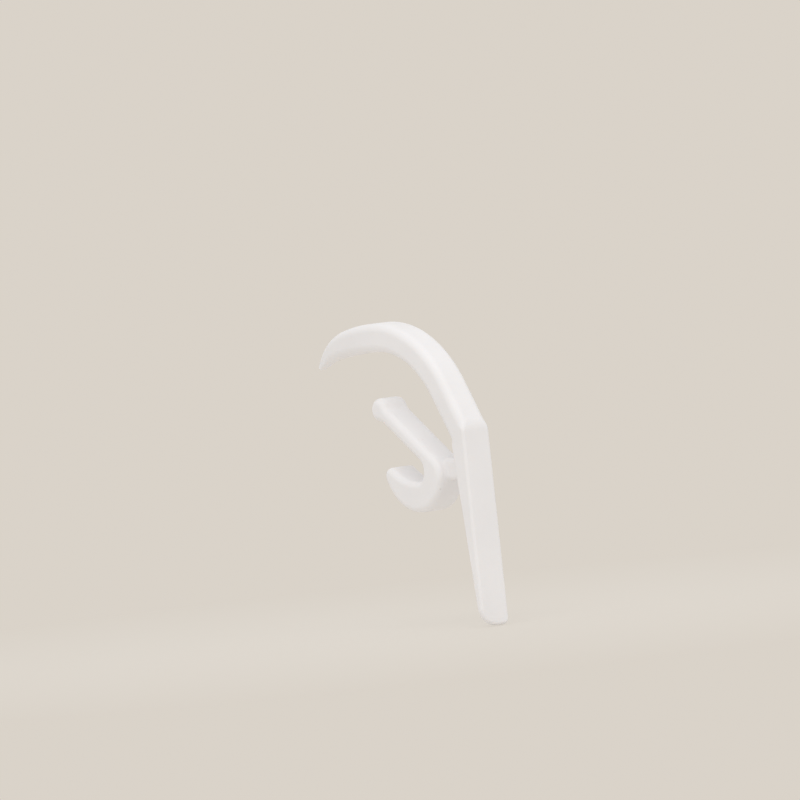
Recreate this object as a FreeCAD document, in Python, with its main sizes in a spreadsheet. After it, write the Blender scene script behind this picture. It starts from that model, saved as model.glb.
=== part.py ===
import FreeCAD, Part
import math
import os

import Sketcher

# A moulded plastic curtain hook, made in one piece.
# The origin is at the middle of the arch's underside, where a glider's eye hangs.
# X points from the claw tips to the spine, Y runs across the strap and Z points up the tail.
# All sizes are in millimetres and degrees.
SIZES = {
    "strap_width": 3.0,
    # The stem rises from a bend in the spine and arches over into the upper claw.
    "arch_radius": 10.3,
    "stem_thickness": 2.7,
    "stem_angle": 33.0,
    "spine_reach": 13.5,
    "inner_bend_radius": 1.5,
    "outer_bend_radius": 2.0,
    # The claw is a beak: flatter than the arch, with a drooping nose, and narrowing to a point.
    "claw_outer_radius": 31.0,
    "claw_inner_radius": 58.0,
    "claw_reach": 6.3,
    "nose_radius": 8.0,
    "hook_reach": 7.6,
    "hook_radius": 11.5,
    "claw_tip_radius": 0.26,
    "claw_taper_radius": 52.0,
    # The tail tapers from the bend to a thin rounded end.
    "tail_length": 18.8,
    "tail_root_thickness": 2.3,
    "tail_end_thickness": 0.6,
    "tail_near_corner_radius": 1.7,
    "tail_far_corner_radius": 0.5,
    # The clip hangs from the tail, placed from the spine and from the bend.
    "clip_reach": 8.55,
    "clip_drop": 4.0,
    "clip_width": 3.0,
    "crotch_radius": 1.1,
    "back_thickness": 2.85,
    "heel_radius": 2.0,
    # The lower claw is the clip's fixed jaw.
    "jaw_radius": 5.4,
    "jaw_angle": 10.0,
    "jaw_reach": 4.45,
    "jaw_tip_radius": 0.8,
    # The spring finger ends in a round bead.
    "finger_thickness": 1.45,
    "finger_angle": 34.0,
    "finger_length": 7.65,
    "bead_radius": 1.1,
    "neck_radius": 1.4,
    # A narrower web joins the clip's back to the tail.
    "web_width": 0.9,
    "web_height": 2.1,
    "web_drop": 0.1,
    "web_corner_radius": 0.42,
    "web_root_radius": 0.42,
    # Rounding of the long edges.
    "clip_edge_radius": 0.6,
    "arch_edge_radius": 0.75,
    "claw_tip_edge_radius": 0.18,
    "tail_edge_radius": 0.28,
}

doc = FreeCAD.newDocument("CurtainHook")
sheet = doc.addObject("Spreadsheet::Sheet", "Sizes")
for row, (name, number) in enumerate(SIZES.items(), start=1):
    sheet.set(f"A{row}", name)
    sheet.set(f"B{row}", str(number))
    sheet.setAlias(f"B{row}", name)
doc.recompute()

START, END, CENTRE = range(1, 4)
ROOT_POINT = -1


def size(name):
    """Reads one driving size from the sheet."""
    return float(sheet.get(name))


def unit(degrees):
    """Gives the unit vector at an angle in a sketch's own plane."""
    return FreeCAD.Vector(math.cos(math.radians(degrees)), math.sin(math.radians(degrees)), 0)


def origin_plane(body, role):
    """Finds one of a body's own base planes."""
    return next(plane for plane in body.Origin.OriginFeatures if plane.Role == role)


def new_sketch(body, name, role):
    """Starts a sketch on one of the body's base planes."""
    sketch = body.newObject("Sketcher::SketchObject", name)
    sketch.AttachmentSupport = [(origin_plane(body, role), "")]
    sketch.MapMode = "FlatFace"
    return sketch


def add_line(sketch, start, end):
    """Adds a straight edge and returns its number."""
    return sketch.addGeometry(Part.LineSegment(start, end), False)


def add_arc(sketch, centre, radius, start, end):
    """Adds an arc that runs anticlockwise between two angles and returns its number."""
    circle = Part.Circle(centre, FreeCAD.Vector(0, 0, 1), radius)
    return sketch.addGeometry(Part.ArcOfCircle(circle, math.radians(start), math.radians(end)), False)


def relate(sketch, kind, *where):
    """Adds a geometric constraint."""
    sketch.addConstraint(Sketcher.Constraint(kind, *where))


def drive(sketch, name, expression, kind, *where):
    """Adds a dimension and binds it to an expression of the sheet's sizes."""
    index = sketch.addConstraint(Sketcher.Constraint(kind, *where))
    sketch.renameConstraint(index, name)
    sketch.setExpression(f"Constraints.{name}", expression)


def pad_midplane(body, name, sketch, width):
    """Pads a profile to a width, half to each side of its sketch."""
    pad = body.newObject("PartDesign::Pad", name)
    pad.Profile = sketch
    pad.SideType = "Symmetric"
    pad.setExpression("Length", width)
    doc.recompute()
    return pad


def fillet(body, name, base, edges, radius):
    """Rounds some edges of the body's last feature."""
    feature = body.newObject("PartDesign::Fillet", name)
    feature.Base = (base, edges)
    feature.setExpression("Radius", radius)
    doc.recompute()
    return feature


def side_edges(shape, point, half_width):
    """Numbers the edges around both flat sides that hold a point of the profile."""
    numbers = []
    for side in (-half_width, half_width):
        spot = FreeCAD.Vector(point.x, side, point.y)
        face = next(face for face in shape.Faces if face.isInside(spot, 0.001, True))
        for number, edge in enumerate(shape.Edges, start=1):
            if any(edge.isSame(bound) for bound in face.Edges):
                numbers.append(number)
    return numbers


def edge_at(shape, point, across):
    """Numbers the edge that passes through a point of the profile at a place across the width."""
    spot = Part.Vertex(point.x, across, point.y)
    edges = enumerate(shape.Edges, start=1)
    return next(number for number, edge in edges if edge.distToShape(spot)[0] < 0.001)


body = doc.addObject("PartDesign::Body", "Hook")
body.Label = "curtain_hook"

# How far the bend in the spine lies below the arch's underside, as an expression and as a number.
ARCH_OUTER = "(Sizes.arch_radius + Sizes.stem_thickness)"
LEAN = "(Sizes.stem_angle * 1 deg)"
BEND_DEPTH = (
    f"(Sizes.arch_radius - {ARCH_OUTER} * sin({LEAN})"
    f" + (Sizes.spine_reach - {ARCH_OUTER} * cos({LEAN})) / tan({LEAN}))"
)
arch_radius = size("arch_radius")
arch_outer = arch_radius + size("stem_thickness")
lean = size("stem_angle")
lean_along = unit(lean - 90)
arch_centre = FreeCAD.Vector(0, -arch_radius, 0)
outer_tangent = arch_centre + unit(lean) * arch_outer
inner_tangent = arch_centre + unit(lean) * arch_radius
bend = outer_tangent + lean_along * ((size("spine_reach") - outer_tangent.x) / lean_along.x)
bend_depth = -bend.y

# Tail, stem and upper claw: one strap, seen from the side.
stem = new_sketch(body, "StemOutline", "XZ_Plane")
crest = arch_centre + unit(90) * arch_outer
claw_outer = size("claw_outer_radius")
claw_inner_radius = size("claw_inner_radius")
nose_radius = size("nose_radius")
claw_tip_radius = size("claw_tip_radius")
claw_centre = crest - unit(90) * claw_outer
claw_inner_centre = unit(-90) * claw_inner_radius
hook_radius = size("hook_radius")
hook_angle = 90 + math.degrees(math.asin(size("hook_reach") / claw_inner_radius))
hook_centre = claw_inner_centre + unit(hook_angle) * (claw_inner_radius - hook_radius)
nose_angle = 90 + math.degrees(math.asin(size("claw_reach") / claw_outer))
nose_centre = claw_centre + unit(nose_angle) * (claw_outer - nose_radius)
to_nose = nose_centre - hook_centre
from_hook = hook_radius + claw_tip_radius
from_nose = nose_radius - claw_tip_radius
tip_span = from_hook ** 2 + to_nose.Length ** 2 - from_nose ** 2
tip_turn = math.acos(tip_span / (2 * from_hook * to_nose.Length))
claw_angle = math.degrees(math.atan2(to_nose.y, to_nose.x) + tip_turn)
claw_tip_centre = hook_centre + unit(claw_angle) * from_hook
to_tip = claw_tip_centre - nose_centre
tip_angle = math.degrees(math.atan2(to_tip.y, to_tip.x)) % 360
tail_end_outer = FreeCAD.Vector(bend.x, bend.y - size("tail_length"), 0)
tail_end_inner = tail_end_outer - FreeCAD.Vector(size("tail_end_thickness"), 0, 0)
outer_run = size("outer_bend_radius") * math.tan(math.radians(lean) / 2)
spine_top = bend - unit(90) * outer_run
stem_root = bend - lean_along * outer_run
outer_bend_centre = spine_top - unit(0) * size("outer_bend_radius")
tail_root_inner = spine_top - unit(0) * size("tail_root_thickness")
tail_run = tail_end_inner - tail_root_inner
taper = 90 + math.degrees(math.atan2(tail_run.y, tail_run.x))
tail_along = unit(taper - 90)
to_root = tail_root_inner - inner_tangent
turn_sine = lean_along.x * tail_along.y - lean_along.y * tail_along.x
to_corner = (to_root.x * tail_along.y - to_root.y * tail_along.x) / turn_sine
inner_corner = inner_tangent + lean_along * to_corner
inner_run = size("inner_bend_radius") * math.tan(math.radians(lean - taper) / 2)
bend_upper = inner_corner - lean_along * inner_run
bend_lower = inner_corner + tail_along * inner_run
inner_bend_centre = bend_lower - unit(taper) * size("inner_bend_radius")

spine = add_line(stem, tail_end_outer, spine_top)
outer_bend = add_arc(stem, outer_bend_centre, size("outer_bend_radius"), 0, lean)
stem_outer = add_line(stem, stem_root, outer_tangent)
outer_arch = add_arc(stem, arch_centre, arch_outer, lean, 90)
claw = add_arc(stem, claw_centre, claw_outer, 90, nose_angle)
nose = add_arc(stem, nose_centre, nose_radius, nose_angle, tip_angle)
claw_tip = add_arc(stem, claw_tip_centre, claw_tip_radius, tip_angle, claw_angle + 180)
claw_hook = add_arc(stem, hook_centre, hook_radius, hook_angle, claw_angle)
claw_inner = add_arc(stem, claw_inner_centre, claw_inner_radius, 90, hook_angle)
inner_arch = add_arc(stem, arch_centre, arch_radius, lean, 90)
stem_inner = add_line(stem, inner_tangent, bend_upper)
inner_bend = add_arc(stem, inner_bend_centre, size("inner_bend_radius"), taper, lean)
tail_inner = add_line(stem, bend_lower, tail_end_inner)
tail_end = add_line(stem, tail_end_inner, tail_end_outer)
root_gauge = stem.addGeometry(Part.LineSegment(spine_top, tail_root_inner), True)

relate(stem, "Tangent", spine, END, outer_bend, START)
relate(stem, "Tangent", outer_bend, END, stem_outer, START)
relate(stem, "Tangent", stem_outer, END, outer_arch, START)
relate(stem, "Tangent", outer_arch, END, claw, START)
relate(stem, "Tangent", claw, END, nose, START)
relate(stem, "Tangent", nose, END, claw_tip, START)
relate(stem, "Tangent", claw_tip, END, claw_hook, END)
relate(stem, "Tangent", claw_hook, START, claw_inner, END)
relate(stem, "Tangent", claw_inner, START, inner_arch, END)
relate(stem, "Tangent", inner_arch, START, stem_inner, START)
relate(stem, "Tangent", stem_inner, END, inner_bend, END)
relate(stem, "Tangent", inner_bend, START, tail_inner, START)
relate(stem, "Coincident", tail_inner, END, tail_end, START)
relate(stem, "Coincident", tail_end, END, spine, START)
relate(stem, "Coincident", inner_arch, CENTRE, outer_arch, CENTRE)
relate(stem, "Vertical", spine)
relate(stem, "Horizontal", tail_end)
relate(stem, "Parallel", stem_inner, stem_outer)
relate(stem, "PointOnObject", inner_arch, CENTRE, -2)
relate(stem, "PointOnObject", outer_arch, END, -2)
relate(stem, "PointOnObject", inner_arch, END, -2)
relate(stem, "Coincident", root_gauge, START, spine, END)
relate(stem, "Horizontal", root_gauge)
relate(stem, "PointOnObject", root_gauge, END, tail_inner)
drive(
    stem, "arch_depth", "Sizes.arch_radius",
    "DistanceY", inner_arch, CENTRE, ROOT_POINT, START, arch_radius,
)
drive(stem, "arch_inner", "Sizes.arch_radius", "Radius", inner_arch, arch_radius)
drive(stem, "arch_outer", ARCH_OUTER, "Radius", outer_arch, arch_outer)
drive(stem, "lean", f"90 deg + {LEAN}", "Angle", stem_outer, math.radians(90 + lean))
drive(stem, "reach", "Sizes.spine_reach", "DistanceX", ROOT_POINT, START, spine, END, bend.x)
drive(stem, "claw_outer", "Sizes.claw_outer_radius", "Radius", claw, claw_outer)
drive(stem, "claw_inner", "Sizes.claw_inner_radius", "Radius", claw_inner, claw_inner_radius)
drive(
    stem, "claw_reach", "Sizes.claw_reach",
    "DistanceX", claw, END, ROOT_POINT, START, size("claw_reach"),
)
drive(stem, "hook_radius", "Sizes.hook_radius", "Radius", claw_hook, hook_radius)
drive(
    stem, "hook_reach", "Sizes.hook_reach",
    "DistanceX", claw_hook, START, ROOT_POINT, START, size("hook_reach"),
)
drive(stem, "nose_radius", "Sizes.nose_radius", "Radius", nose, nose_radius)
drive(stem, "claw_tip", "Sizes.claw_tip_radius", "Radius", claw_tip, claw_tip_radius)
drive(stem, "inner_bend", "Sizes.inner_bend_radius", "Radius", inner_bend, size("inner_bend_radius"))
drive(stem, "outer_bend", "Sizes.outer_bend_radius", "Radius", outer_bend, size("outer_bend_radius"))
drive(
    stem, "tail_length", f"Sizes.tail_length - Sizes.outer_bend_radius * tan({LEAN} / 2)",
    "DistanceY", spine, START, spine, END, size("tail_length") - outer_run,
)
drive(
    stem, "tail_root", "Sizes.tail_root_thickness",
    "DistanceX", root_gauge, END, root_gauge, START, size("tail_root_thickness"),
)
drive(
    stem, "tail_end", "Sizes.tail_end_thickness",
    "DistanceX", tail_end, START, tail_end, END, size("tail_end_thickness"),
)
stem_pad = pad_midplane(body, "StemPad", stem, "Sizes.strap_width")

# The claw narrows from the arch's crest to its point, in a long curve on each side.
half_strap = size("strap_width") / 2
taper_radius = size("claw_taper_radius")
CLAW_LENGTH = "(Sizes.claw_reach + Sizes.nose_radius)"
claw_length = size("claw_reach") + nose_radius
flank_angle = 90 + math.degrees(math.asin(claw_length / taper_radius))
sides = new_sketch(body, "ClawSides", "XY_Plane")
for name, side in (("far", 1), ("near", -1)):
    flank_centre = unit(90) * side * (half_strap - taper_radius)
    flank_root = unit(90) * side * half_strap
    flank_end = flank_centre + unit(side * flank_angle) * taper_radius
    rim_root = flank_root * 2
    rim_end = rim_root - unit(0) * claw_length
    if side > 0:
        flank = add_arc(sides, flank_centre, taper_radius, 90, flank_angle)
        at_root, at_end = START, END
    else:
        flank = add_arc(sides, flank_centre, taper_radius, -flank_angle, -90)
        at_root, at_end = END, START
    outward = add_line(sides, flank_end, rim_end)
    rim = add_line(sides, rim_end, rim_root)
    inward = add_line(sides, rim_root, flank_root)
    relate(sides, "Coincident", flank, at_end, outward, START)
    relate(sides, "Coincident", outward, END, rim, START)
    relate(sides, "Coincident", rim, END, inward, START)
    relate(sides, "Coincident", inward, END, flank, at_root)
    relate(sides, "Vertical", outward)
    relate(sides, "Horizontal", rim)
    relate(sides, "PointOnObject", inward, START, -2)
    relate(sides, "PointOnObject", flank, at_root, -2)
    relate(sides, "PointOnObject", flank, CENTRE, -2)
    half = [(ROOT_POINT, START), (flank, at_root)][::side]
    whole = [(ROOT_POINT, START), (inward, START)][::side]
    drive(sides, f"{name}_radius", "Sizes.claw_taper_radius", "Radius", flank, taper_radius)
    drive(sides, f"{name}_half", "Sizes.strap_width / 2", "DistanceY", *half[0], *half[1], half_strap)
    drive(sides, f"{name}_rim", "Sizes.strap_width", "DistanceY", *whole[0], *whole[1], 2 * half_strap)
    drive(sides, f"{name}_length", CLAW_LENGTH, "DistanceX", rim, START, ROOT_POINT, START, claw_length)
claw_cut = body.newObject("PartDesign::Pocket", "ClawFlanks")
claw_cut.Profile = sides
claw_cut.SideType = "Symmetric"
claw_cut.setExpression("Length", f"2 * {ARCH_OUTER}")
doc.recompute()

# The tail's end is rounded off across its width, more on one side than on the other.
tail_end_middle = (tail_end_outer + tail_end_inner) / 2
near_corner = f"Edge{edge_at(claw_cut.Shape, tail_end_middle, -half_strap)}"
near_end = fillet(body, "TailNearCorner", claw_cut, [near_corner], "Sizes.tail_near_corner_radius")
far_corner = f"Edge{edge_at(near_end.Shape, tail_end_middle, half_strap)}"
far_end = fillet(body, "TailFarCorner", near_end, [far_corner], "Sizes.tail_far_corner_radius")

# The web: a rounded bar, narrower than the strap, from the clip's back to the tail.
CLIP_X = "(Sizes.spine_reach - Sizes.clip_reach)"
CLIP_DEPTH = f"({BEND_DEPTH} + Sizes.clip_drop)"
BACK_MIDDLE = "(Sizes.crotch_radius + Sizes.back_thickness / 2)"
clip_x = size("spine_reach") - size("clip_reach")
clip_centre = FreeCAD.Vector(clip_x, -bend_depth - size("clip_drop"), 0)
web = new_sketch(body, "WebOutline", "YZ_Plane")
web.setExpression("AttachmentOffset.Base.z", f"{CLIP_X} + {BACK_MIDDLE}")
web_corner = size("web_corner_radius")
web_right = size("web_width") / 2
web_top = clip_centre.y - size("web_drop") + size("web_height") / 2
web_base = web_top - size("web_height")
flat_right = web_right - web_corner
flat_top = web_top - web_corner
flat_base = web_base + web_corner
web_edges = [
    add_line(web, FreeCAD.Vector(-flat_right, web_base, 0), FreeCAD.Vector(flat_right, web_base, 0)),
    add_arc(web, FreeCAD.Vector(flat_right, flat_base, 0), web_corner, -90, 0),
    add_line(web, FreeCAD.Vector(web_right, flat_base, 0), FreeCAD.Vector(web_right, flat_top, 0)),
    add_arc(web, FreeCAD.Vector(flat_right, flat_top, 0), web_corner, 0, 90),
    add_line(web, FreeCAD.Vector(flat_right, web_top, 0), FreeCAD.Vector(-flat_right, web_top, 0)),
    add_arc(web, FreeCAD.Vector(-flat_right, flat_top, 0), web_corner, 90, 180),
    add_line(web, FreeCAD.Vector(-web_right, flat_top, 0), FreeCAD.Vector(-web_right, flat_base, 0)),
    add_arc(web, FreeCAD.Vector(-flat_right, flat_base, 0), web_corner, 180, 270),
]
for first, second in zip(web_edges, web_edges[1:] + web_edges[:1]):
    relate(web, "Tangent", first, END, second, START)
web_bottom, corner_a, web_side, corner_b, web_roof, corner_c, web_far_side, corner_d = web_edges
relate(web, "Horizontal", web_bottom)
relate(web, "Horizontal", web_roof)
relate(web, "Vertical", web_side)
relate(web, "Vertical", web_far_side)
for corner in (corner_b, corner_c, corner_d):
    relate(web, "Equal", corner_a, corner)
drive(web, "corner", "Sizes.web_corner_radius", "Radius", corner_a, web_corner)
drive(web, "half_width", "Sizes.web_width / 2", "DistanceX", ROOT_POINT, START, web_side, START, web_right)
drive(web, "width", "Sizes.web_width", "DistanceX", web_far_side, END, web_side, START, 2 * web_right)
drive(web, "height", "Sizes.web_height", "DistanceY", web_bottom, END, web_roof, START, web_top - web_base)
drive(
    web, "depth", f"{CLIP_DEPTH} + Sizes.web_drop + Sizes.web_height / 2",
    "DistanceY", web_bottom, END, ROOT_POINT, START, -web_base,
)
web_pad = body.newObject("PartDesign::Pad", "WebPad")
web_pad.Profile = web
web_pad.setExpression("Length", f"Sizes.clip_reach - {BACK_MIDDLE} - Sizes.tail_root_thickness / 2")
doc.recompute()

# The clip: lower claw, thick back and spring finger around one narrow slot.
clip = new_sketch(body, "ClipOutline", "XZ_Plane")
rise = size("finger_angle")
crotch_radius = size("crotch_radius")
finger_thickness = size("finger_thickness")
back_radius = crotch_radius + size("back_thickness")
heel_radius = size("heel_radius")
jaw_radius = size("jaw_radius")
tip_radius = size("jaw_tip_radius")
bead_radius = size("bead_radius")
neck_radius = size("neck_radius")
finger_down = unit(-rise)
finger_normal = unit(90 - rise)
half_finger = finger_thickness / 2
heel_side = crotch_radius + finger_thickness - heel_radius
heel_along = math.sqrt((back_radius - heel_radius) ** 2 - heel_side ** 2)
heel_offset = finger_normal * heel_side + finger_down * heel_along
heel_centre = clip_centre + heel_offset
heel_angle = math.degrees(math.atan2(heel_offset.y, heel_offset.x))
jaw_start = size("jaw_angle") - 90
jaw_centre = clip_centre + unit(jaw_start) * (back_radius - jaw_radius)
tip_x = clip_centre.x - size("jaw_reach")
tip_y = jaw_centre.y - math.sqrt((jaw_radius - tip_radius) ** 2 - (tip_x - jaw_centre.x) ** 2)
tip_centre = FreeCAD.Vector(tip_x, tip_y, 0)
jaw_end = math.degrees(math.atan2(tip_y - jaw_centre.y, tip_x - jaw_centre.x))
floor_rise = crotch_radius + tip_y - clip_centre.y
floor_span = size("jaw_reach") ** 2 + floor_rise ** 2 - tip_radius ** 2
floor_radius = floor_span / (2 * (floor_rise + tip_radius))
floor_centre = clip_centre + FreeCAD.Vector(0, floor_radius - crotch_radius, 0)
floor_angle = math.degrees(math.atan2(tip_y - floor_centre.y, tip_x - floor_centre.x))
finger_middle = clip_centre + finger_normal * (crotch_radius + half_finger)
bead_centre = finger_middle - finger_down * size("finger_length")
neck_side = half_finger + neck_radius
neck_along = math.sqrt((bead_radius + neck_radius) ** 2 - neck_side ** 2)
neck_angle = math.degrees(math.atan2(neck_side, neck_along))
neck_root = bead_centre + finger_down * neck_along
crotch_top = clip_centre + finger_normal * crotch_radius
heel_top = heel_centre + finger_normal * heel_radius

lower_face = add_line(clip, crotch_top, neck_root - finger_normal * half_finger)
crotch = add_arc(clip, clip_centre, crotch_radius, -90, 90 - rise)
jaw_floor = add_arc(clip, floor_centre, floor_radius, floor_angle, -90)
jaw_tip = add_arc(clip, tip_centre, tip_radius, floor_angle + 180, jaw_end + 360)
jaw_outer = add_arc(clip, jaw_centre, jaw_radius, jaw_end, jaw_start)
back = add_arc(clip, clip_centre, back_radius, jaw_start, heel_angle)
heel = add_arc(clip, heel_centre, heel_radius, heel_angle, 90 - rise)
upper_face = add_line(clip, heel_top, neck_root + finger_normal * half_finger)
upper_neck_centre = neck_root + finger_normal * neck_side
upper_neck = add_arc(clip, upper_neck_centre, neck_radius, 180 - rise + neck_angle, 270 - rise)
bead = add_arc(clip, bead_centre, bead_radius, neck_angle - rise, 360 - rise - neck_angle)
lower_neck_centre = neck_root - finger_normal * neck_side
lower_neck = add_arc(clip, lower_neck_centre, neck_radius, 90 - rise, 180 - rise - neck_angle)

relate(clip, "Tangent", lower_face, START, crotch, END)
relate(clip, "Tangent", crotch, START, jaw_floor, END)
relate(clip, "Tangent", jaw_floor, START, jaw_tip, START)
relate(clip, "Tangent", jaw_tip, END, jaw_outer, START)
relate(clip, "Tangent", jaw_outer, END, back, START)
relate(clip, "Tangent", back, END, heel, START)
relate(clip, "Tangent", heel, END, upper_face, START)
relate(clip, "Tangent", upper_face, END, upper_neck, END)
relate(clip, "Tangent", upper_neck, START, bead, START)
relate(clip, "Tangent", bead, END, lower_neck, END)
relate(clip, "Tangent", lower_neck, START, lower_face, END)
relate(clip, "Coincident", back, CENTRE, crotch, CENTRE)
relate(clip, "Vertical", crotch, CENTRE, crotch, START)
relate(clip, "Parallel", upper_face, lower_face)
drive(clip, "across", CLIP_X, "DistanceX", ROOT_POINT, START, crotch, CENTRE, clip_centre.x)
drive(clip, "depth", CLIP_DEPTH, "DistanceY", crotch, CENTRE, ROOT_POINT, START, -clip_centre.y)
drive(clip, "crotch", "Sizes.crotch_radius", "Radius", crotch, crotch_radius)
drive(clip, "back", "Sizes.crotch_radius + Sizes.back_thickness", "Radius", back, back_radius)
drive(clip, "heel", "Sizes.heel_radius", "Radius", heel, heel_radius)
drive(clip, "jaw", "Sizes.jaw_radius", "Radius", jaw_outer, jaw_radius)
drive(clip, "jaw_tip", "Sizes.jaw_tip_radius", "Radius", jaw_tip, tip_radius)
drive(clip, "bead", "Sizes.bead_radius", "Radius", bead, bead_radius)
drive(clip, "upper_neck", "Sizes.neck_radius", "Radius", upper_neck, neck_radius)
drive(clip, "lower_neck", "Sizes.neck_radius", "Radius", lower_neck, neck_radius)
drive(clip, "rise", "180 deg - Sizes.finger_angle * 1 deg", "Angle", lower_face, math.radians(180 - rise))
drive(
    clip, "finger", "Sizes.finger_thickness",
    "Distance", upper_face, END, lower_face, finger_thickness,
)
drive(clip, "bead_side", "Sizes.finger_thickness / 2", "Distance", bead, CENTRE, lower_face, half_finger)
drive(
    clip, "bead_away",
    "sqrt(Sizes.finger_length ^ 2 + (Sizes.crotch_radius + Sizes.finger_thickness / 2) ^ 2)",
    "Distance", crotch, CENTRE, bead, CENTRE, clip_centre.distanceToPoint(bead_centre),
)
drive(
    clip, "jaw_turn", "(Sizes.crotch_radius + Sizes.back_thickness) * sin(Sizes.jaw_angle * 1 deg)",
    "DistanceX", back, CENTRE, back, START, back_radius * math.sin(math.radians(size("jaw_angle"))),
)
drive(clip, "jaw_reach", "Sizes.jaw_reach", "DistanceX", jaw_tip, CENTRE, crotch, CENTRE, size("jaw_reach"))
clip_pad = pad_midplane(body, "ClipPad", clip, "Sizes.clip_width")

# Small fillets where the web runs into the clip's back.
web_box = FreeCAD.BoundBox(
    clip_centre.x, -web_right - 0.01, web_base - 0.01,
    clip_centre.x + back_radius, web_right + 0.01, web_top + 0.01,
)
web_roots = [
    f"Edge{number}"
    for number, edge in enumerate(clip_pad.Shape.Edges, start=1)
    if web_box.isInside(edge.BoundBox) and edge.BoundBox.XLength < web_right
]
web_fillet = fillet(body, "WebRoots", clip_pad, web_roots, "Sizes.web_root_radius")

# The clip's edges are rounded all the way around both sides.
clip_loops = side_edges(web_fillet.Shape, finger_middle, size("clip_width") / 2)
clip_loops = [f"Edge{number}" for number in clip_loops]
clip_edges = fillet(body, "ClipEdges", web_fillet, clip_loops, "Sizes.clip_edge_radius")

# The strap's long edges are well rounded on the arch and crisper on the tail and at the claw's tip.
# They make one chain: over the bend and the claw, down the inner face and back on the other side.
arch_edge = size("arch_edge_radius")
tip_edge = size("claw_tip_edge_radius")
tail_edge = size("tail_edge_radius")
strap_edges = doc.addObject("Part::Fillet", "StrapEdges")
strap_edges.Label = "curtain_hook"
strap_edges.Base = body
rounding = [
    ((stem_root + outer_tangent) / 2, arch_edge, arch_edge),
    (arch_centre + unit((90 + lean) / 2) * arch_outer, arch_edge, arch_edge),
    (claw_centre + unit((90 + nose_angle) / 2) * claw_outer, arch_edge, arch_edge),
    (nose_centre + unit((nose_angle + tip_angle) / 2) * nose_radius, arch_edge, tip_edge),
    (claw_tip_centre + unit((tip_angle + claw_angle + 180) / 2) * claw_tip_radius, tip_edge, tip_edge),
    (hook_centre + unit((hook_angle + claw_angle) / 2) * hook_radius, tip_edge, arch_edge),
    (claw_inner_centre + unit((90 + hook_angle) / 2) * claw_inner_radius, arch_edge, arch_edge),
    (arch_centre + unit((90 + lean) / 2) * arch_radius, arch_edge, arch_edge),
    ((inner_tangent + bend_upper) / 2, arch_edge, arch_edge),
    (inner_bend_centre + unit((taper + lean) / 2) * size("inner_bend_radius"), arch_edge, tail_edge),
    ((bend_lower + tail_end_inner) / 2, tail_edge, tail_edge),
    ((spine_top + tail_end_outer) / 2, tail_edge, tail_edge),
    (outer_bend_centre + unit(lean / 2) * size("outer_bend_radius"), tail_edge, arch_edge),
]
rounded_edges = []
for point, first, last in rounding:
    across = half_strap
    if point.x < 0:
        across = half_strap - taper_radius + math.sqrt(taper_radius ** 2 - point.x ** 2)
    rounded_edges.append((edge_at(body.Shape, point, across), first, last))
    rounded_edges.append((edge_at(body.Shape, point, -across), last, first))
strap_edges.Edges = rounded_edges
doc.recompute()

for made in doc.Objects:
    if "Invalid" in made.State or "Error" in made.State:
        raise RuntimeError(f"{made.Name} did not build")
    if hasattr(made, "Shape") and not made.isDerivedFrom("App::OriginFeature"):
        if made.Shape.isNull() or not made.Shape.isValid():
            raise RuntimeError(f"{made.Name} has no sound shape")
if len(strap_edges.Shape.Solids) != 1:
    raise RuntimeError("the hook is not one solid")

os.makedirs("parts", exist_ok=True)
strap_edges.Shape.exportStep("parts/curtain_hook.step")
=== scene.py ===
import math
import bmesh
import bpy
from mathutils import Matrix, Vector


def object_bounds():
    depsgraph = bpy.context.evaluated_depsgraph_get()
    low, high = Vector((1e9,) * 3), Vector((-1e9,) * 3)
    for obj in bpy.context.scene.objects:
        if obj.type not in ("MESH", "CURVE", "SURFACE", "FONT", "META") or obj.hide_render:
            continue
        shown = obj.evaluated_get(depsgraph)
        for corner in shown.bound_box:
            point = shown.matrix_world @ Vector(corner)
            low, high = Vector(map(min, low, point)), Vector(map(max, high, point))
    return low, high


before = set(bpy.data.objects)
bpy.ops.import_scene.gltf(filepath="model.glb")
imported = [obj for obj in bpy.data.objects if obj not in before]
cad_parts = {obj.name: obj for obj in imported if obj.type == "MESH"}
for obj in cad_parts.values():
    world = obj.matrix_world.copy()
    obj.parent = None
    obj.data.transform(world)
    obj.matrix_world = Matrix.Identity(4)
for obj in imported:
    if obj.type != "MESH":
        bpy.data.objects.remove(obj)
cad_low, cad_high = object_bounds()

# The hook is a single moulding in white acetal, shot in a two-half mould and left as it comes out.
# Its skin is a matt satin, uneven in gloss, with a very fine grain and the soft flow marks of the melt.
# The resin is a soft white with a few tiny grey specks, and a little light enters it before it comes out.
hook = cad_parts["curtain_hook"]
acetal = bpy.data.materials.new("white_acetal")
acetal.use_nodes = True
nodes, links = acetal.node_tree.nodes, acetal.node_tree.links
skin = nodes["Principled BSDF"]
skin.inputs["Subsurface Weight"].default_value = 0.1
skin.inputs["Subsurface Radius"].default_value = (1.0, 0.9, 0.8)
skin.inputs["Subsurface Scale"].default_value = 0.0006
skin.inputs["IOR"].default_value = 1.48

place = nodes.new("ShaderNodeTexCoord")

clouding = nodes.new("ShaderNodeTexNoise")
clouding.inputs["Scale"].default_value = 160
clouding.inputs["Detail"].default_value = 3
clouding.inputs["Roughness"].default_value = 0.55
resin = nodes.new("ShaderNodeValToRGB")
denser_resin, paler_resin = resin.color_ramp.elements
denser_resin.position = 0.3
denser_resin.color = (0.833, 0.816, 0.818, 1)
paler_resin.position = 0.7
paler_resin.color = (0.863, 0.846, 0.848, 1)
links.new(place.outputs["Object"], clouding.inputs["Vector"])
links.new(clouding.outputs["Fac"], resin.inputs["Fac"])

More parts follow.
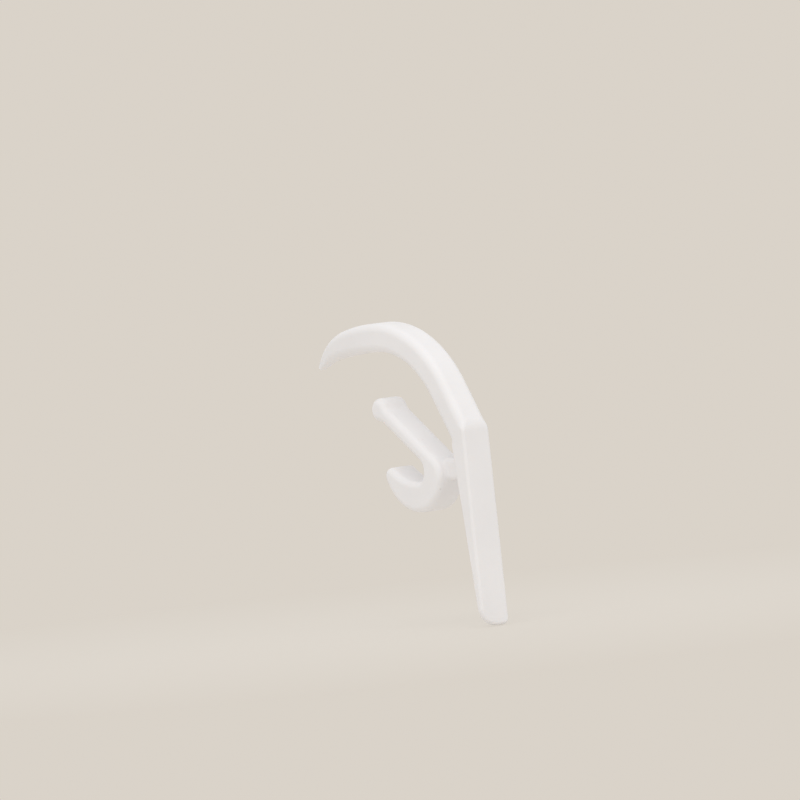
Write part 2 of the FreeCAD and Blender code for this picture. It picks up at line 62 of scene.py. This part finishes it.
speck_cells = nodes.new("ShaderNodeTexVoronoi")
speck_cells.inputs["Scale"].default_value = 480
speck_spot = nodes.new("ShaderNodeMapRange")
speck_spot.inputs["From Min"].default_value = 0.025
speck_spot.inputs["From Max"].default_value = 0.055
speck_spot.inputs["To Min"].default_value = 0.3
speck_spot.inputs["To Max"].default_value = 0.0
specked_resin = nodes.new("ShaderNodeMix")
specked_resin.data_type = "RGBA"
specked_resin.inputs["B"].default_value = (0.42, 0.40, 0.37, 1)
links.new(place.outputs["Object"], speck_cells.inputs["Vector"])
links.new(speck_cells.outputs["Distance"], speck_spot.inputs["Value"])
links.new(speck_spot.outputs["Result"], specked_resin.inputs["Factor"])
links.new(resin.outputs["Color"], specked_resin.inputs["A"])
links.new(specked_resin.outputs["Result"], skin.inputs["Base Color"])

gloss = nodes.new("ShaderNodeTexNoise")
gloss.inputs["Scale"].default_value = 420
gloss.inputs["Detail"].default_value = 4
gloss_range = nodes.new("ShaderNodeMapRange")
gloss_range.inputs["From Min"].default_value = 0.3
gloss_range.inputs["From Max"].default_value = 0.7
gloss_range.inputs["To Min"].default_value = 0.5
gloss_range.inputs["To Max"].default_value = 0.62
links.new(place.outputs["Object"], gloss.inputs["Vector"])
links.new(gloss.outputs["Fac"], gloss_range.inputs["Value"])
links.new(gloss_range.outputs["Result"], skin.inputs["Roughness"])

flow_stretch = nodes.new("ShaderNodeMapping")
flow_stretch.inputs["Scale"].default_value = (1.0, 1.0, 0.25)
flow = nodes.new("ShaderNodeTexNoise")
flow.inputs["Scale"].default_value = 700
flow.inputs["Detail"].default_value = 2
flow_relief = nodes.new("ShaderNodeBump")
flow_relief.inputs["Strength"].default_value = 0.25
flow_relief.inputs["Distance"].default_value = 0.00003
grain = nodes.new("ShaderNodeTexNoise")
grain.inputs["Scale"].default_value = 5200
grain.inputs["Detail"].default_value = 2
grain_relief = nodes.new("ShaderNodeBump")
grain_relief.inputs["Strength"].default_value = 0.2
grain_relief.inputs["Distance"].default_value = 0.000008
links.new(place.outputs["Object"], flow_stretch.inputs["Vector"])
links.new(flow_stretch.outputs["Vector"], flow.inputs["Vector"])
links.new(flow.outputs["Fac"], flow_relief.inputs["Height"])
links.new(place.outputs["Object"], grain.inputs["Vector"])
links.new(grain.outputs["Fac"], grain_relief.inputs["Height"])
links.new(flow_relief.outputs["Normal"], grain_relief.inputs["Normal"])
links.new(grain_relief.outputs["Normal"], skin.inputs["Normal"])

hook.data.materials.clear()
hook.data.materials.append(acetal)

# The floor is a round sheet of pale cream paper just under the hook's lowest edge.
# It takes the hook's soft shadow near the middle and goes over into the plain backdrop further out.
floor_radius = 0.5
floor_gap = 0.0001
shadow_edge = 0.02
paper_edge = 0.09
backdrop_cream = (0.70, 0.65, 0.585, 1)

floor_mesh = bpy.data.meshes.new("floor")
sheet = bmesh.new()
bmesh.ops.create_circle(sheet, cap_ends=True, segments=96, radius=floor_radius)
bmesh.ops.translate(sheet, verts=sheet.verts, vec=(0, 0, cad_low.z - floor_gap))
sheet.to_mesh(floor_mesh)
sheet.free()
floor = bpy.data.objects.new("floor", floor_mesh)
bpy.context.collection.objects.link(floor)


def backdrop_rays(nodes, links):
    """Picks out the rays that see the backdrop: those of the camera, of gloss and through clear pieces."""
    rays = nodes.new("ShaderNodeLightPath")
    camera_or_gloss = nodes.new("ShaderNodeMath")
    camera_or_gloss.operation = "MAXIMUM"
    any_of_them = nodes.new("ShaderNodeMath")
    any_of_them.operation = "MAXIMUM"
    links.new(rays.outputs["Is Camera Ray"], camera_or_gloss.inputs[0])
    links.new(rays.outputs["Is Glossy Ray"], camera_or_gloss.inputs[1])
    links.new(camera_or_gloss.outputs["Value"], any_of_them.inputs[0])
    links.new(rays.outputs["Is Transmission Ray"], any_of_them.inputs[1])
    return any_of_them.outputs["Value"]


paper = bpy.data.materials.new("pale_paper")
paper.use_nodes = True
nodes, links = paper.node_tree.nodes, paper.node_tree.links
nodes.clear()
result = nodes.new("ShaderNodeOutputMaterial")
place = nodes.new("ShaderNodeTexCoord")
fibre = nodes.new("ShaderNodeTexNoise")
fibre.inputs["Scale"].default_value = 900
tint = nodes.new("ShaderNodeValToRGB")
darker_fibre, lighter_fibre = tint.color_ramp.elements
darker_fibre.color = (0.80, 0.765, 0.715, 1)
lighter_fibre.color = (0.84, 0.805, 0.755, 1)
matt = nodes.new("ShaderNodeBsdfDiffuse")
backdrop = nodes.new("ShaderNodeEmission")
backdrop.inputs["Color"].default_value = backdrop_cream
backdrop.inputs["Strength"].default_value = 1.0
spread = nodes.new("ShaderNodeVectorMath")
spread.operation = "LENGTH"
fade = nodes.new("ShaderNodeMapRange")
fade.inputs["From Min"].default_value = shadow_edge
fade.inputs["From Max"].default_value = paper_edge
fade.inputs["To Min"].default_value = 0.74
fade.inputs["To Max"].default_value = 1.0
share = nodes.new("ShaderNodeMath")
share.operation = "MULTIPLY"
blend = nodes.new("ShaderNodeMixShader")
links.new(place.outputs["Object"], fibre.inputs["Vector"])
links.new(fibre.outputs["Fac"], tint.inputs["Fac"])
links.new(tint.outputs["Color"], matt.inputs["Color"])
links.new(place.outputs["Object"], spread.inputs[0])
links.new(spread.outputs["Value"], fade.inputs["Value"])
links.new(fade.outputs["Result"], share.inputs[0])
links.new(backdrop_rays(nodes, links), share.inputs[1])
links.new(share.outputs["Value"], blend.inputs["Fac"])
links.new(matt.outputs["BSDF"], blend.inputs[1])
links.new(backdrop.outputs["Emission"], blend.inputs[2])
links.new(blend.outputs["Shader"], result.inputs["Surface"])
floor_mesh.materials.append(paper)

# The room is an even white tent, which lights the hook softly from all round.
# The camera and the hook's gloss see a plain pale cream backdrop in its place.
room = bpy.data.worlds.new("white_tent")
bpy.context.scene.world = room
room.use_nodes = True
nodes, links = room.node_tree.nodes, room.node_tree.links
nodes.clear()
result = nodes.new("ShaderNodeOutputWorld")
tent = nodes.new("ShaderNodeBackground")
tent.inputs["Color"].default_value = (1, 1, 1, 1)
tent.inputs["Strength"].default_value = 0.815
backdrop = nodes.new("ShaderNodeBackground")
backdrop.inputs["Color"].default_value = backdrop_cream
backdrop.inputs["Strength"].default_value = 1.0
blend = nodes.new("ShaderNodeMixShader")
links.new(backdrop_rays(nodes, links), blend.inputs["Fac"])
links.new(tent.outputs["Background"], blend.inputs[1])
links.new(backdrop.outputs["Background"], blend.inputs[2])
links.new(blend.outputs["Shader"], result.inputs["Surface"])

# A wide soft lamp hangs above the spine's side of the hook, towards the viewer.
# It brightens the arch's top and the leaning stem most, the near sides less, and leaves the
# undersides in soft shade.
lamp_data = bpy.data.lights.new("soft_box", "AREA")
lamp_data.shape = "RECTANGLE"
lamp_data.size = 0.45
lamp_data.size_y = 0.35
lamp_data.energy = 0.96
lamp = bpy.data.objects.new("soft_box", lamp_data)
bpy.context.collection.objects.link(lamp)
lamp.location = (0.24, -0.18, 0.48)
lamp.rotation_mode = "QUATERNION"
lamp.rotation_quaternion = lamp.location.to_track_quat("Z", "Y")

# The camera is far off with a long lens, almost level, on the spine's side, and turned a little.
# The picture's middle is set out from the near corner of the bend, to its left, above and behind it.
azimuth, elevation, roll = math.radians(56), math.radians(2), math.radians(6.1)
picture_width = 0.07477
bend_corner = Vector((0.0135, -0.001375, -0.007219))
left_of_bend, above_bend, behind_bend = 0.005556, 0.002947, 0.010

right = Vector((math.cos(azimuth), math.sin(azimuth), 0))
level_back = Vector((math.sin(azimuth), -math.cos(azimuth), 0))
back = math.cos(elevation) * level_back + math.sin(elevation) * Vector((0, 0, 1))
up = back.cross(right)
middle = bend_corner - left_of_bend * right + above_bend * up - behind_bend * back
lens_data = bpy.data.cameras.new("long_lens")
lens_data.lens = 500
lens_data.sensor_width = 36
lens_data.clip_start = 0.01
lens_data.clip_end = 10
distance = picture_width * lens_data.lens / lens_data.sensor_width
camera = bpy.data.objects.new("long_lens", lens_data)
bpy.context.collection.objects.link(camera)
frame_right = math.cos(roll) * right - math.sin(roll) * up
frame_up = math.sin(roll) * right + math.cos(roll) * up
turn = Matrix((frame_right, frame_up, back)).transposed().to_4x4()
camera.matrix_world = Matrix.Translation(middle + distance * back) @ turn
bpy.context.scene.camera = camera
bpy.context.scene.view_settings.view_transform = "Standard"
